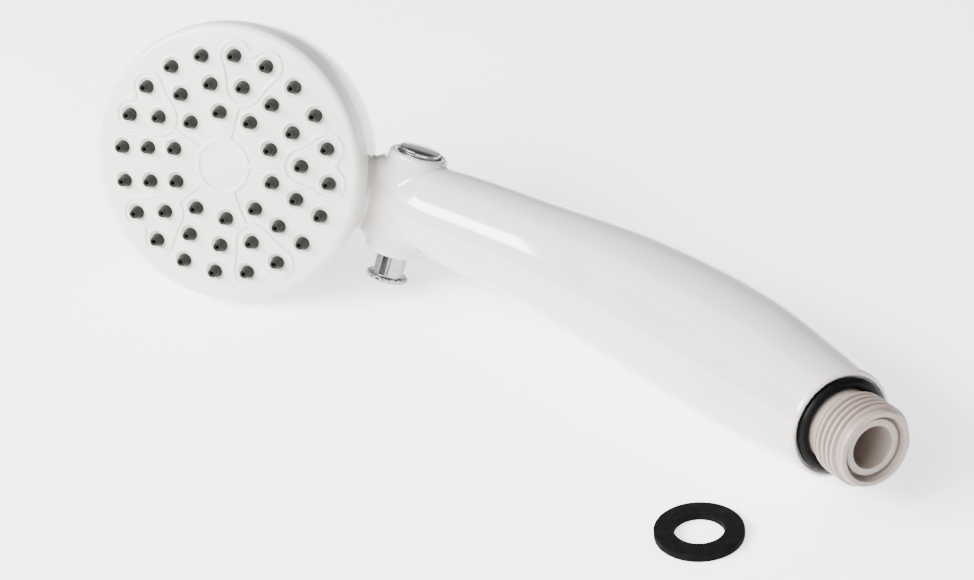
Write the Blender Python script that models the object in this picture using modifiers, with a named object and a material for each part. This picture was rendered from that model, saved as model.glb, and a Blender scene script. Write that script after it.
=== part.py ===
"""Handheld shower head with a cross push-through valve, lying on its side.

The head and handle are drawn in the head's own frame, in metres: the origin is just behind the crown of the
spray face, +Z is the spray direction, +X points to the handle and +Y to the valve's button.  An empty carries
that frame and lays it down on the head's side wall and the handle; a second one is the table, which also
holds the loose hose washer.  Run in Blender 4.5.
"""
import math

import bmesh
import bpy
from mathutils import Matrix, Vector

MM = 0.001
GAP = 0.3 * MM                      # clearance between neighbouring pieces

# Resting attitude in degrees: the head lies on its drafted side wall and the handle on its bulge
REST_ROLL = 73.93
REST_PITCH = 13.37
REST_YAW = -20.64

# Spray face
CROWN_Z = 0.8 * MM
DOME_RADIUS = 330 * MM
FACE_RADIUS = 38.0 * MM             # where the dome meets the rounded edge
FACE_EDGE = 2.2 * MM
FACE_THICKNESS = 2.4 * MM
SEAM_Z = -9.0 * MM
SEAM_RADIUS = 40.35 * MM
SPIGOT_RADIUS = 37.3 * MM
SPIGOT_BORE = 35.0 * MM
SPIGOT_END_Z = -13.7 * MM
FACE_GROOVE_Z = -11.3 * MM
FACE_GROOVE_DEPTH = 1.2 * MM

# Nozzles: three rings of count, radius and first angle
NOZZLE_RINGS = ((20, 31.5 * MM, 9.0), (15, 23.35 * MM, 0.0), (10, 15.3 * MM, 18.0))
PATTERN_TURN = 14.6                 # degrees from the handle to the pattern's own axis
NUB_BASE_RADIUS = 2.1 * MM
NUB_TIP_RADIUS = 1.15 * MM
NUB_HEIGHT = 2.8 * MM               # above the face
JET_RADIUS = 0.55 * MM
MAT_THICKNESS = 1.6 * MM
PLATE_THICKNESS = 1.8 * MM

# Head shell
HEAD_RADIUS = 40.6 * MM
HEAD_WIDEST_Z = -11.5 * MM
HEAD_BACK_Z = -31.5 * MM
SIDE_DRAFT = 11.5                   # degrees that the side wall closes in towards the back
CORNER_RADIUS = 6.0 * MM
CORNER_Z = -24.5 * MM
WALL = 2.4 * MM
SHOULDER_Z = -15.8 * MM
BAFFLE_THICKNESS = 1.5 * MM
BAFFLE_HOLES = ((9, 27 * MM), (5, 14 * MM))     # circles of count and radius
BAFFLE_HOLE_RADIUS = 2.5 * MM

# Handle: its centre line leaves the valve's axis and bends towards the spray side
VALVE_X = 50.4 * MM
VALVE_Z = -16.75 * MM
VALVE_TILT = 2.9                    # degrees that the valve's upper end leans towards the handle
HANDLE_LENGTH = 163.4 * MM
NECK_SLOPE = 11.3                   # degrees at the valve
BEND = 51.5                         # degrees over the length, less what the ease takes off
BEND_EASE = 14.5
NECK_START = -22.5 * MM             # the neck begins inside the head
# Half-width of the neck and handle at each fraction of the length
HANDLE_STATIONS = ((-0.14, 6.6), (-0.04, 8.0), (0.02, 10.4), (0.065, 12.9), (0.27, 14.5), (0.50, 17.2),
                   (0.74, 17.6), (0.93, 14.9), (1.0, 13.7))
NECK_WEB_X = 45.5 * MM              # upright round web that joins head, bosses and handle
NECK_WEB_Z = -17.3 * MM
NECK_WEB_RADIUS = 7.2 * MM
NECK_WEB_TOP = 11.8 * MM
NECK_WEB_BOTTOM = -12.6 * MM
HANDLE_WALL = 2.8 * MM
HANDLE_EDGE = 1.3 * MM              # rounding of the handle's end
DUCT_START = 15.5 * MM              # the handle's hollow begins behind the valve

# Cross valve, through (VALVE_X, VALVE_Z); heights count along its axis
BOSS_RADIUS = 8.65 * MM
BOSS_TOP = 14.9 * MM
BOSS_BOTTOM = -15.2 * MM
BOSS_EDGE = 1.5 * MM
VALVE_BORE = 4.9 * MM
BUTTON_RADIUS = 6.05 * MM
BUTTON_TOP = 16.45 * MM
BUTTON_BOTTOM = 13.35 * MM
SPOOL_RADIUS = 4.5 * MM
SPOOL_TOP = 13.05 * MM
SPOOL_BOTTOM = -12.0 * MM
STUD_RADIUS = 2.0 * MM
STUD_LENGTH = 2.2 * MM
FLANGE_RADIUS = 6.1 * MM
FLANGE_TOP = -22.4 * MM
FLANGE_BOTTOM = -23.85 * MM
PORT_HEIGHT = 4.0 * MM
PORT_WIDTH = 7.5 * MM
SPOOL_SEAL_Y = (3.3 * MM, -3.3 * MM, -9.8 * MM)
SEAL_GROOVE_RADIUS = 3.2 * MM
SEAL_GROOVE_HALF = 0.95 * MM
WAIST_RADIUS = 2.6 * MM
KNOB_STUD = 4 * MM
KNOB_BEADS = 12
BEAD_RADIUS = 0.55 * MM

# Inlet nipple, G 1/2 thread, along the handle's end direction; lengths count outwards from the handle's end
THREAD_MAJOR = 20.955 / 2 * MM
THREAD_DEPTH = 1.162 * MM
THREAD_PITCH = 1.814 * MM
THREAD_START = 2.3 * MM
NIPPLE_END = 13.5 * MM
RECESS_RADIUS = 12.55 * MM
RECESS_DEPTH = 1.8 * MM
INLET_BORE = 10.6 * MM
SPIGOT_DEPTH = 15.0 * MM
COUNTERBORE = 8.0 * MM
COUNTERBORE_FLOOR = 10.0 * MM
TUBE_OUTER = 6.0 * MM
TUBE_INNER = 5.0 * MM
TUBE_END = 12.2 * MM
POCKET_RADIUS = 6.5 * MM
POCKET_FLOOR = 1.0 * MM
CONNECTOR_SEAL_Z = (-5.0 * MM, -11.0 * MM)
CONNECTOR_RADIUS = INLET_BORE - GAP
CONNECTOR_GROOVE = 1.4 * MM
RING_SECTION = 1.2 * MM

# Flow regulator, a cup in the nipple's pocket
REGULATOR_RADIUS = POCKET_RADIUS - GAP
REGULATOR_TOP = POCKET_FLOOR - GAP
REGULATOR_BOTTOM = -6.5 * MM
REGULATOR_SEAL_Z = -3.0 * MM
REGULATOR_GROOVE = 1.2 * MM
REGULATOR_CUP = 3.9 * MM
REGULATOR_FLOOR = 1.6 * MM
METERING_HOLES = 6
METERING_CIRCLE = 2.9 * MM
METERING_RADIUS = 0.8 * MM

# Hose washer, lying loose in front of the handle
WASHER_OUTER = 10.4 * MM
WASHER_INNER = 6.1 * MM
WASHER_THICKNESS = 2.0 * MM
WASHER_PLACE = (114.6 * MM, -138.9 * MM)    # on the table, from below the head frame's origin

# Colours
WHITE = (0.83, 0.82, 0.80)
NATURAL = (0.78, 0.74, 0.69)
BLACK = (0.012, 0.012, 0.012)
GREY_RUBBER = (0.05, 0.05, 0.05)
CHROME = (0.75, 0.76, 0.78)
ACETAL = (0.72, 0.72, 0.70)


# ---------------------------------------------------------------- scene, materials and small tools

def clear_scene():
    for obj in list(bpy.data.objects):
        bpy.data.objects.remove(obj, do_unlink=True)


def new_collection(name):
    collection = bpy.data.collections.new(name)
    bpy.context.scene.collection.children.link(collection)
    return collection


def material(name, colour, roughness, metallic=0.0):
    mat = bpy.data.materials.new(name)
    mat.use_nodes = True
    shader = mat.node_tree.nodes["Principled BSDF"]
    shader.inputs["Base Color"].default_value = (*colour, 1.0)
    shader.inputs["Roughness"].default_value = roughness
    shader.inputs["Metallic"].default_value = metallic
    return mat


def new_object(name, mesh, placement=Matrix()):
    """Link a part or a cutter; a part gets its collection later."""
    obj = bpy.data.objects.new(name, mesh)
    bpy.context.scene.collection.objects.link(obj)
    obj.parent = FRAME
    obj.matrix_local = placement
    return obj


def move_to(obj, collection):
    for owner in list(obj.users_collection):
        owner.objects.unlink(obj)
    collection.objects.link(obj)


def as_part(obj, colour, roughness, metallic=0.0):
    obj.data.materials.append(material(obj.name, colour, roughness, metallic))
    obj.data.shade_smooth()
    obj.data.set_sharp_from_angle(angle=math.radians(35))
    move_to(obj, PARTS)
    return obj


def as_cutter(obj):
    obj.hide_render = True
    obj.display_type = "WIRE"
    move_to(obj, CUTTERS)
    return obj


def turned(name, profile, segments, placement=Matrix(), closed=True):
    """Turn a profile of (radius, height) points about Z; the outer side runs from top to bottom."""
    mesh = bpy.data.meshes.new(name)
    count = len(profile)
    edges = [(i, i + 1) for i in range(count - 1)]
    if closed:
        edges.append((count - 1, 0))
    mesh.from_pydata([(radius, 0.0, height) for radius, height in profile], edges, [])
    obj = new_object(name, mesh, placement)
    screw = obj.modifiers.new("turn", "SCREW")
    screw.axis = "Z"
    screw.angle = math.tau
    screw.steps = segments
    screw.render_steps = segments
    screw.use_merge_vertices = True
    screw.merge_threshold = 0.00001
    screw.use_smooth_shade = True
    return obj


def combine(target, other, operation):
    boolean = target.modifiers.new(other.name, "BOOLEAN")
    boolean.operation = operation
    boolean.solver = "EXACT"
    boolean.object = other
    as_cutter(other)


def cut(target, *cutters):
    for cutter in cutters:
        combine(target, cutter, "DIFFERENCE")


def join(target, *others):
    for other in others:
        combine(target, other, "UNION")


def rod(name, radius, bottom, top, segments, placement=Matrix()):
    points = [(0, top), (radius, top), (radius, bottom), (0, bottom)]
    return turned(name, points, segments, placement, closed=False)


def ring(name, centre_radius, section_radius, height, segments, sides, placement=Matrix()):
    """An O-ring: a circle turned about Z."""
    profile = []
    for i in range(sides):
        angle = math.pi / 2 - math.tau * (i + 0.5) / sides
        profile.append((centre_radius + section_radius * math.cos(angle),
                        height + section_radius * math.sin(angle)))
    return turned(name, profile, segments, placement)


def arc(centre, radius, start, end, count):
    """Points of an arc in the profile plane; angles in degrees."""
    points = []
    for i in range(count + 1):
        angle = math.radians(start + (end - start) * i / count)
        points.append((centre[0] + radius * math.cos(angle), centre[1] + radius * math.sin(angle)))
    return points


def circle(count, radius, height, first=0.0):
    """Evenly spaced points round Z; the first angle is in degrees."""
    points = []
    for i in range(count):
        angle = math.radians(first + 360 * i / count)
        points.append(Vector((radius * math.cos(angle), radius * math.sin(angle), height)))
    return points


def pegs(name, centres, base_radius, tip_radius, length, sides, placement=Matrix()):
    """One mesh with an upright cylinder or cone at every centre."""
    bm = bmesh.new()
    for centre in centres:
        bmesh.ops.create_cone(bm, cap_ends=True, segments=sides, radius1=base_radius, radius2=tip_radius,
                              depth=length, matrix=Matrix.Translation(centre))
    mesh = bpy.data.meshes.new(name)
    bm.to_mesh(mesh)
    bm.free()
    return new_object(name, mesh, placement)


def groove_seal(name, groove_floor, section, height, segments, placement=Matrix()):
    """An O-ring just clear of its groove's floor."""
    seal = ring(name, groove_floor + section + 0.2 * MM, section, height, segments, 6, placement)
    return as_part(seal, BLACK, 0.5)


# ---------------------------------------------------------------- placements

VALVE_CENTRE = Matrix.Translation((VALVE_X, 0, VALVE_Z))
VALVE_LEAN = Matrix.Rotation(math.radians(-VALVE_TILT), 4, "Z")
VALVE = VALVE_CENTRE @ VALVE_LEAN @ Matrix.Rotation(math.radians(-90), 4, "X")


def slope(distance):
    """Direction of the handle's centre line, in radians above the face plane."""
    share = distance / HANDLE_LENGTH
    return math.radians(NECK_SLOPE + BEND * share - BEND_EASE * share * abs(share))


def centre_line(start, end, count):
    """Points on the centre line at equal steps of its length, with their distances from the valve."""
    step = 0.1 * MM
    point = Vector((VALVE_X, 0, VALVE_Z))
    track = {0: point.copy()}
    for direction in (1, -1):
        point = Vector((VALVE_X, 0, VALVE_Z))
        distance = 0.0
        index = 0
        while NECK_START - step < distance < HANDLE_LENGTH + step:
            angle = slope(distance + direction * step / 2)
            point = point + direction * step * Vector((math.cos(angle), 0, math.sin(angle)))
            distance += direction * step
            index += direction
            track[index] = point.copy()
    points = []
    for i in range(count + 1):
        distance = start + (end - start) * i / count
        points.append((distance, track[round(distance / step)]))
    return points


def handle_radius(distance):
    """Smooth curve through the handle's stations."""
    share = distance / HANDLE_LENGTH
    stations = HANDLE_STATIONS
    last = len(stations) - 1
    k = max(i for i in range(last) if i == 0 or stations[i][0] <= share)

    def tangent(i):
        a, b = stations[max(i - 1, 0)], stations[min(i + 1, last)]
        return (b[1] - a[1]) / (b[0] - a[0])

    (x0, y0), (x1, y1) = stations[k], stations[k + 1]
    width = x1 - x0
    t = (share - x0) / width
    value = ((1 + 2 * t) * (1 - t) ** 2 * y0 + t * (1 - t) ** 2 * width * tangent(k)
             + t * t * (3 - 2 * t) * y1 + t * t * (t - 1) * width * tangent(k + 1))
    return value * MM


def inlet_placement():
    """Frame at the handle's end whose +Z leaves along the handle."""
    end = centre_line(0, HANDLE_LENGTH, 1)[-1][1]
    turn = math.pi / 2 - slope(HANDLE_LENGTH)
    return Matrix.Translation(end) @ Matrix.Rotation(turn, 4, "Y")


def tapered_tube(name, stations, sides):
    """A round bar through (point, radius) stations, made as a curve and turned into a closed mesh."""
    curve = bpy.data.curves.new(name + "_curve", "CURVE")
    curve.dimensions = "3D"
    curve.bevel_depth = MM
    curve.bevel_resolution = (sides - 4) // 2
    curve.use_fill_caps = True
    spline = curve.splines.new("POLY")
    spline.points.add(len(stations) - 1)
    for target, (point, radius) in zip(spline.points, stations):
        target.co = (*point, 1.0)
        target.radius = radius / MM
    guide = bpy.data.objects.new(name + "_curve", curve)
    bpy.context.scene.collection.objects.link(guide)
    bpy.context.view_layer.update()
    solid = guide.evaluated_get(bpy.context.evaluated_depsgraph_get())
    mesh = bpy.data.meshes.new_from_object(solid)
    bpy.data.objects.remove(guide, do_unlink=True)
    bm = bmesh.new()
    bm.from_mesh(mesh)
    bmesh.ops.remove_doubles(bm, verts=bm.verts, dist=0.00001)
    bmesh.ops.recalc_face_normals(bm, faces=bm.faces)
    bm.to_mesh(mesh)
    bm.free()
    return new_object(name, mesh)


def dome(radius, offset=0.0):
    """Height of the face's dome at a radius, less an offset."""
    return CROWN_Z - radius * radius / (2 * DOME_RADIUS) - offset


def dome_line(start, end, offset=0.0):
    """Profile of the dome between two radii."""
    steps = 2
    radii = [start + (end - start) * i / steps for i in range(steps + 1)]
    return [(radius, dome(radius, offset)) for radius in radii]


def nozzle_cones(name, base_radius, tip_radius, bottom, top, sides):
    """A cone at every nozzle; bottom and top count from the face's surface there."""
    centres = []
    for count, radius, first in NOZZLE_RINGS:
        centres += circle(count, radius, dome(radius) + (bottom + top) / 2, PATTERN_TURN + first)
    return pegs(name, centres, base_radius, tip_radius, top - bottom, sides)


def domed_disc(name, top_offset, bottom_offset, radius, segments):
    """A disc of even thickness that follows the dome."""
    points = dome_line(0, radius, top_offset) + dome_line(radius, 0, bottom_offset)
    return turned(name, points, segments, closed=False)


# ---------------------------------------------------------------- head

HEAD_SEGMENTS = 44


def spray_face():
    top = dome_line(0, FACE_RADIUS)
    edge = arc((FACE_RADIUS, dome(FACE_RADIUS) - FACE_EDGE), FACE_EDGE, 68, 8, 3)
    groove_half = 0.9 * MM
    groove = SPIGOT_RADIUS - FACE_GROOVE_DEPTH
    skirt = [(SEAM_RADIUS, SEAM_Z), (SPIGOT_RADIUS, SEAM_Z),
             (SPIGOT_RADIUS, FACE_GROOVE_Z + groove_half), (groove, FACE_GROOVE_Z + groove_half),
             (groove, FACE_GROOVE_Z - groove_half), (SPIGOT_RADIUS, FACE_GROOVE_Z - groove_half),
             (SPIGOT_RADIUS, SPIGOT_END_Z), (SPIGOT_BORE, SPIGOT_END_Z)]
    under = dome_line(SPIGOT_BORE, 0, FACE_THICKNESS)
    face = turned("spray_face", top + edge + skirt + under, HEAD_SEGMENTS, closed=False)
    hole = NUB_BASE_RADIUS + GAP
    cut(face, nozzle_cones("nozzle_holes", hole, hole, -FACE_THICKNESS - MM, MM, 8))
    return as_part(face, WHITE, 0.22)


def nozzle_mat():
    top = FACE_THICKNESS + GAP
    mat = domed_disc("nozzle_mat", top, top + MAT_THICKNESS, SPIGOT_BORE - GAP, 36)
    middle = -top - MAT_THICKNESS / 2
    below = -top - MAT_THICKNESS - MM
    join(mat, nozzle_cones("nozzle_nubs", NUB_BASE_RADIUS, NUB_TIP_RADIUS, middle, NUB_HEIGHT, 7))
    cut(mat, nozzle_cones("nozzle_jets", JET_RADIUS, JET_RADIUS, below, NUB_HEIGHT + MM, 5))
    return as_part(mat, GREY_RUBBER, 0.55)


def jet_plate():
    top = FACE_THICKNESS + MAT_THICKNESS + 2 * GAP
    plate = domed_disc("jet_plate", top, top + PLATE_THICKNESS, SPIGOT_BORE - GAP, 36)
    jet = 2 * JET_RADIUS
    cut(plate, nozzle_cones("plate_jets", jet, jet, -top - PLATE_THICKNESS - MM, -top + MM, 4))
    return as_part(plate, WHITE, 0.4)


def flow_baffle():
    top = SPIGOT_END_Z - GAP
    bottom = top - BAFFLE_THICKNESS
    baffle = rod("flow_baffle", SPIGOT_RADIUS, bottom, top, 36)
    centres = []
    for count, radius in BAFFLE_HOLES:
        centres += circle(count, radius, (top + bottom) / 2)
    cut(baffle, pegs("baffle_holes", centres, BAFFLE_HOLE_RADIUS, BAFFLE_HOLE_RADIUS, 4 * MM, 6))
    return as_part(baffle, WHITE, 0.4)


def face_seal():
    return groove_seal("face_seal", SPIGOT_RADIUS - FACE_GROOVE_DEPTH, 0.55 * MM, FACE_GROOVE_Z, 36)


# ---------------------------------------------------------------- body shell

def head_bowl():
    """Outer form of the head's back, solid: a collar, a drafted side wall and a low crown."""
    rim = SEAM_Z - GAP
    side = [(0, rim), (SEAM_RADIUS + 0.05 * MM, rim), (HEAD_RADIUS, HEAD_WIDEST_Z)]
    corner = (wall_radius(CORNER_Z) - CORNER_RADIUS, CORNER_Z)
    turn = arc(corner, CORNER_RADIUS, -SIDE_DRAFT, -72, 4)
    crown = [(16 * MM, HEAD_BACK_Z + 0.5 * MM), (0, HEAD_BACK_Z)]
    return turned("body_shell", side + turn + crown, HEAD_SEGMENTS, closed=False)


def wall_radius(height):
    """Radius of the head's drafted side wall at a height behind its widest place."""
    return HEAD_RADIUS - (HEAD_WIDEST_Z - height) * math.tan(math.radians(SIDE_DRAFT))


def head_cavity():
    wide = SPIGOT_RADIUS + GAP
    corner_radius = CORNER_RADIUS
    narrow = wall_radius(CORNER_Z) - WALL
    floor = HEAD_BACK_Z + WALL + 0.5 * MM
    corner = (narrow - corner_radius, floor + corner_radius)
    side = [(0, SEAM_Z + 2 * MM), (wide, SEAM_Z + 2 * MM), (wide, SHOULDER_Z), (narrow, SHOULDER_Z)]
    return turned("head_cavity", side + arc(corner, corner_radius, 0, -80, 3) + [(0, floor)],
                  HEAD_SEGMENTS, closed=False)


def handle_bar():
    """Outer form of neck and handle, with its end rounded over."""
    line = centre_line(NECK_START, HANDLE_LENGTH, 24)
    stations = [(point, handle_radius(distance)) for distance, point in line[:-1]]
    end = line[-1][1]
    direction = Vector((math.cos(slope(HANDLE_LENGTH)), 0, math.sin(slope(HANDLE_LENGTH))))
    radius = handle_radius(HANDLE_LENGTH)
    for angle in (0, 30, 60, 90):
        turn = math.radians(angle)
        back = HANDLE_EDGE * (1 - math.sin(turn))
        stations.append((end - back * direction, radius - HANDLE_EDGE * (1 - math.cos(turn))))
    return tapered_tube("handle_bar", stations, 26)


def handle_cavity():
    """Water duct, narrowed towards the valve and towards the inlet."""
    last = HANDLE_LENGTH - SPIGOT_DEPTH - 1.5 * MM
    stations = []
    for distance, point in centre_line(DUCT_START, last, 12):
        opening = min(1.0, 0.45 + (distance - DUCT_START) / (18 * MM))
        closing = min(1.0, 0.86 + (last - distance) / (60 * MM))
        stations.append((point, (handle_radius(distance) - HANDLE_WALL) * opening * closing))
    return tapered_tube("handle_cavity", stations, 14)


def boss(name, top, bottom):
    """One end of the cross valve; its far end is rounded."""
    length = abs(top)
    points = [(0, length), (BOSS_RADIUS - BOSS_EDGE, length)]
    points += arc((BOSS_RADIUS - BOSS_EDGE, length - BOSS_EDGE), BOSS_EDGE, 60, 0, 2)
    points += [(BOSS_RADIUS, bottom), (0, bottom)]
    placement = VALVE if top > 0 else VALVE @ Matrix.Rotation(math.pi, 4, "X")
    return turned(name, points, 28, placement, closed=False)


def neck_web():
    """Upright round web between the bosses, with rounded ends."""
    edge = 3.0 * MM
    start = NECK_WEB_RADIUS - edge
    points = [(0, NECK_WEB_TOP)] + arc((start, NECK_WEB_TOP - edge), edge, 90, 0, 2)
    points += arc((start, NECK_WEB_BOTTOM + edge), edge, 0, -90, 2) + [(0, NECK_WEB_BOTTOM)]
    place = Matrix.Translation((NECK_WEB_X, 0, NECK_WEB_Z)) @ Matrix.Rotation(math.radians(-90), 4, "X")
    return turned("neck_web", points, 22, place, closed=False)


def water_port(name, start, end):
    """Slot through the neck, centred on the valve's axis and turned to the neck's slope."""
    bm = bmesh.new()
    middle = Vector(((start + end) / 2, 0, 0))
    size = Matrix.Diagonal((end - start, PORT_HEIGHT, PORT_WIDTH, 1))
    bmesh.ops.create_cube(bm, size=1.0, matrix=Matrix.Translation(middle) @ size)
    mesh = bpy.data.meshes.new(name)
    bm.to_mesh(mesh)
    bm.free()
    return new_object(name, mesh, VALVE_CENTRE @ Matrix.Rotation(-math.radians(NECK_SLOPE), 4, "Y"))


def body_shell():
    shell = head_bowl()
    join(shell, handle_bar(), neck_web(), boss("upper_boss", BOSS_TOP, 0), boss("lower_boss", BOSS_BOTTOM, 0))
    clearance = HEAD_RADIUS + 0.4 * MM
    above_face = rod("face_clearance", clearance, SEAM_Z - GAP, 12 * MM, HEAD_SEGMENTS)
    offset = Matrix.Rotation(math.radians(5), 4, "Z")
    well_radius = BUTTON_RADIUS + 0.4 * MM
    button_well = rod("button_well", well_radius, SPOOL_TOP, BOSS_TOP + 3 * MM, 26, VALVE @ offset)
    bore = rod("valve_bore", VALVE_BORE, BOSS_BOTTOM - 3 * MM, SPOOL_TOP + MM, 24, VALVE)
    inlet = inlet_placement()
    recess = rod("inlet_recess", RECESS_RADIUS, -RECESS_DEPTH, 3 * MM, 32, inlet)
    socket = rod("inlet_socket", INLET_BORE, -SPIGOT_DEPTH - 2 * MM, MM, 28, inlet)
    port = water_port("water_port", -18 * MM, 18 * MM)
    cut(shell, above_face, head_cavity(), handle_cavity(), port, bore, button_well, recess, socket)
    return as_part(shell, WHITE, 0.18)


# ---------------------------------------------------------------- valve

def valve_spool():
    """Spool with one waist over the port and a groove for each seal."""
    waist = PORT_HEIGHT / 2
    stud_top = SPOOL_TOP + STUD_LENGTH
    points = [(0, stud_top), (STUD_RADIUS, stud_top), (STUD_RADIUS, SPOOL_TOP), (SPOOL_RADIUS, SPOOL_TOP)]
    steps = []
    for height in SPOOL_SEAL_Y:
        steps.append((height + SEAL_GROOVE_HALF, height - SEAL_GROOVE_HALF, SEAL_GROOVE_RADIUS))
    steps.insert(1, (waist, -waist, WAIST_RADIUS))
    for upper, lower, radius in steps:
        points += [(SPOOL_RADIUS, upper), (radius, upper), (radius, lower), (SPOOL_RADIUS, lower)]
    points += [(SPOOL_RADIUS, SPOOL_BOTTOM), (STUD_RADIUS, SPOOL_BOTTOM),
               (STUD_RADIUS, SPOOL_BOTTOM - KNOB_STUD), (0, SPOOL_BOTTOM - KNOB_STUD)]
    return as_part(turned("valve_spool", points, 20, VALVE, closed=False), ACETAL, 0.35)


def valve_button():
    crown = 0.35 * MM
    edge = 0.5 * MM
    socket = STUD_RADIUS + GAP
    socket_top = SPOOL_TOP + STUD_LENGTH + GAP
    points = [(0, BUTTON_TOP), (BUTTON_RADIUS * 0.6, BUTTON_TOP - crown * 0.36)]
    points += arc((BUTTON_RADIUS - edge, BUTTON_TOP - crown - edge), edge, 75, 0, 2)
    points += [(BUTTON_RADIUS, BUTTON_BOTTOM), (socket, BUTTON_BOTTOM)]
    points += [(socket, socket_top), (0, socket_top)]
    return as_part(turned("valve_button", points, 28, VALVE, closed=False), CHROME, 0.08, 1.0)


def valve_end_knob():
    """Chrome shank and flange with a beaded rim, screwed to the spool's lower stud."""
    top = SPOOL_BOTTOM - GAP
    shank = SPOOL_RADIUS - 0.05 * MM
    socket = STUD_RADIUS + GAP
    socket_end = SPOOL_BOTTOM - KNOB_STUD - GAP
    rim = FLANGE_RADIUS - 0.35 * MM
    points = [(0, socket_end), (socket, socket_end), (socket, top), (shank, top), (shank, FLANGE_TOP),
              (rim, FLANGE_TOP), (rim, FLANGE_BOTTOM + 0.2 * MM), (rim - 0.4 * MM, FLANGE_BOTTOM),
              (0, FLANGE_BOTTOM)]
    knob = turned("valve_end_knob", points, 24, VALVE, closed=False)
    centres = circle(KNOB_BEADS, rim, (FLANGE_TOP + FLANGE_BOTTOM) / 2)
    height = FLANGE_TOP - FLANGE_BOTTOM - 0.2 * MM
    join(knob, pegs("knob_beads", centres, BEAD_RADIUS, BEAD_RADIUS, height, 6, VALVE))
    return as_part(knob, CHROME, 0.08, 1.0)


def spool_seals():
    for number, height in enumerate(SPOOL_SEAL_Y, start=1):
        groove_seal(f"spool_seal_{number}", SEAL_GROOVE_RADIUS, 0.65 * MM, height, 20, VALVE)


# ---------------------------------------------------------------- inlet

def seal_groove(height, outer, depth, half):
    return [(outer, height + half), (outer - depth, height + half), (outer - depth, height - half),
            (outer, height - half)]


def inlet_connector():
    root = THREAD_MAJOR - THREAD_DEPTH
    crest = 0.25 * MM
    flank = 0.55 * MM
    chamfer = 1.1 * MM
    tip = THREAD_MAJOR - chamfer
    points = [(tip, NIPPLE_END)]
    ridges = int((NIPPLE_END - THREAD_START) / THREAD_PITCH)
    for i in range(ridges):
        middle = NIPPLE_END - THREAD_PITCH * (i + 0.75)
        crest_radius = THREAD_MAJOR - (0.5 * MM if i == 0 else 0)
        points += [(crest_radius, middle + crest), (crest_radius, middle - crest)]
        points += [(root, middle - crest - flank)]
        if i < ridges - 1:
            points += [(root, middle - THREAD_PITCH + crest + flank)]
    points += [(root, -RECESS_DEPTH - GAP), (CONNECTOR_RADIUS, -RECESS_DEPTH - GAP)]
    for height in CONNECTOR_SEAL_Z:
        points += seal_groove(height, CONNECTOR_RADIUS, CONNECTOR_GROOVE, 1.1 * MM)
    points += [(CONNECTOR_RADIUS, -SPIGOT_DEPTH), (POCKET_RADIUS, -SPIGOT_DEPTH)]
    points += [(POCKET_RADIUS, POCKET_FLOOR), (TUBE_INNER, POCKET_FLOOR)]
    points += [(TUBE_INNER, TUBE_END), (TUBE_OUTER, TUBE_END), (TUBE_OUTER, COUNTERBORE_FLOOR)]
    points += [(COUNTERBORE, COUNTERBORE_FLOOR), (COUNTERBORE, NIPPLE_END)]
    return as_part(turned("inlet_connector", points, 24, inlet_placement()), NATURAL, 0.35)


def inlet_ring():
    """Black O-ring between the handle's end and the first thread."""
    centre = THREAD_MAJOR - THREAD_DEPTH + RING_SECTION + 0.2 * MM
    height = RING_SECTION - RECESS_DEPTH + GAP
    return as_part(ring("inlet_ring", centre, RING_SECTION, height, 28, 8, inlet_placement()), BLACK, 0.45)


def connector_seals():
    for number, height in enumerate(CONNECTOR_SEAL_Z, start=1):
        groove_seal(f"connector_seal_{number}", CONNECTOR_RADIUS - CONNECTOR_GROOVE, 0.65 * MM, height, 24,
                    inlet_placement())


def flow_regulator():
    """Cup with a pointed hub and a circle of metering holes."""
    under = REGULATOR_TOP - REGULATOR_FLOOR
    points = [(0, REGULATOR_TOP + 2.6 * MM), (1.7 * MM, REGULATOR_TOP), (REGULATOR_RADIUS, REGULATOR_TOP)]
    points += seal_groove(REGULATOR_SEAL_Z, REGULATOR_RADIUS, REGULATOR_GROOVE, 0.85 * MM)
    points += [(REGULATOR_RADIUS, REGULATOR_BOTTOM), (REGULATOR_CUP, REGULATOR_BOTTOM)]
    points += [(REGULATOR_CUP, under), (0, under)]
    place = inlet_placement()
    regulator = turned("flow_regulator", points, 20, place, closed=False)
    centres = circle(METERING_HOLES, METERING_CIRCLE, REGULATOR_TOP - REGULATOR_FLOOR / 2)
    cut(regulator, pegs("metering_holes", centres, METERING_RADIUS, METERING_RADIUS, 4 * MM, 8, place))
    return as_part(regulator, NATURAL, 0.5)


def regulator_seal():
    floor = REGULATOR_RADIUS - REGULATOR_GROOVE
    return groove_seal("regulator_seal", floor, 0.5 * MM, REGULATOR_SEAL_Z, 20, inlet_placement())


# ---------------------------------------------------------------- washer and resting place

def hose_washer():
    edge = 0.2 * MM
    points = [(WASHER_OUTER - edge, WASHER_THICKNESS), (WASHER_OUTER, WASHER_THICKNESS - edge)]
    points += [(WASHER_OUTER, edge), (WASHER_OUTER - edge, 0)]
    points += [(WASHER_INNER, 0), (WASHER_INNER, WASHER_THICKNESS)]
    washer = turned("hose_washer", points, 32)
    washer.parent = TABLE
    washer.matrix_local = Matrix.Translation((*WASHER_PLACE, 0))
    return as_part(washer, BLACK, 0.6)


def box_of(parts):
    """Lowest and highest corner of the finished pieces."""
    bpy.context.view_layer.update()
    graph = bpy.context.evaluated_depsgraph_get()
    points = []
    for obj in parts:
        solid = obj.evaluated_get(graph)
        points += [obj.matrix_world @ vertex.co for vertex in solid.to_mesh().vertices]
        solid.to_mesh_clear()
    low = Vector([min(point[axis] for point in points) for axis in range(3)])
    high = Vector([max(point[axis] for point in points) for axis in range(3)])
    return low, high


def lay_down():
    """Rest the head and handle on Z = 0, then centre the whole object's box over the origin."""
    low, high = box_of([obj for obj in PARTS.objects if obj.parent is FRAME])
    FRAME.location.z = -low.z
    low, high = box_of(PARTS.objects)
    TABLE.location = (-(low.x + high.x) / 2, -(low.y + high.y) / 2, 0)


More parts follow.
